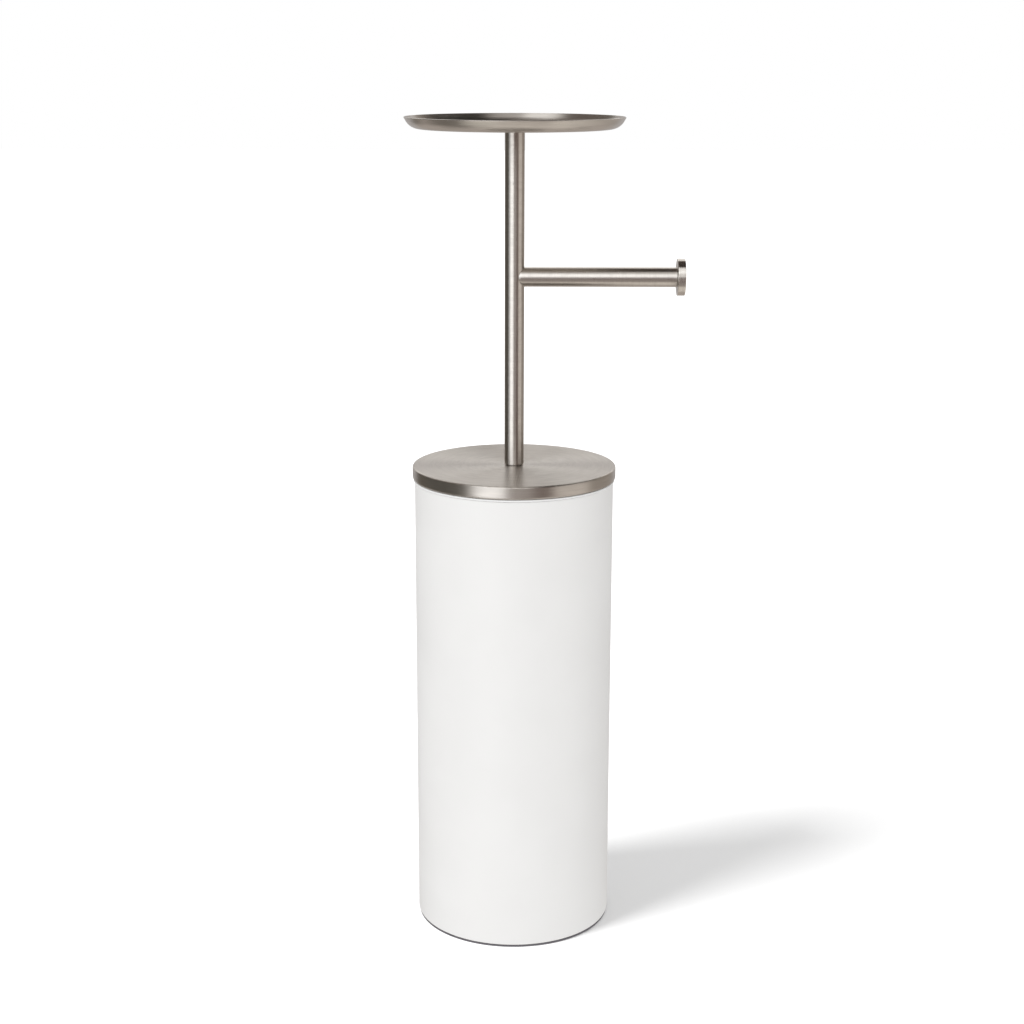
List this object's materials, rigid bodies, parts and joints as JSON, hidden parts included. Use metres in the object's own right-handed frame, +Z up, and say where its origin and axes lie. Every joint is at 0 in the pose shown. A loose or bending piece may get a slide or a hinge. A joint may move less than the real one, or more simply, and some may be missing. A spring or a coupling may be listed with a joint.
{
  "type": "freestanding toilet paper holder",
  "caption": "Round white canister for spare toilet rolls, with a brushed metal lid that lifts off and turns, carrying a post, a roll arm and a shallow round tray.",
  "frame": {"origin": "middle of the base pad's underside, on the floor, on the axis that the post stands on and the lid turns about", "axes": "+Z up along the post, +X along the roll arm towards its end disc, +Y away from the picture's viewer"},
  "size_m": [0.2117, 0.1654, 0.6349],
  "materials": {
    "dark_pad": "matte dark grey non-slip pad",
    "white_paint": "satin white powder coat on steel sheet",
    "white_plastic": "smooth white moulded plastic",
    "brushed_nickel": "warm brushed nickel, turned lines on round faces",
    "plain_steel": "bright zinc-plated steel"
  },
  "bodies": {
    "canister": {"base_pad": "dark_pad", "canister_shell": "white_paint", "canister_floor": "white_paint"},
    "turning_ring": {"rim_ring": "white_plastic"},
    "lid_assembly": {"lid_cap": "brushed_nickel", "lid_stiffener": "plain_steel", "lid_washer": "plain_steel", "lid_lock_washer": "plain_steel", "lid_screw": "plain_steel", "post_tube": "brushed_nickel", "post_lower_plug": "plain_steel", "post_upper_plug": "plain_steel", "arm_tube": "brushed_nickel", "arm_end_disc": "brushed_nickel", "tray": "brushed_nickel", "tray_stud": "plain_steel"}
  },
  "joints": [
    {"name": "lid_turn", "type": "hinge", "parent": "canister", "child": "turning_ring", "pos_m": [0, 0, 0.3589], "axis": [0, 0, 1], "continuous": true},
    {"name": "lid_lift", "type": "slide", "parent": "turning_ring", "child": "lid_assembly", "axis": [0, 0, 1], "range_m": [0, 0.18]}
  ]
}
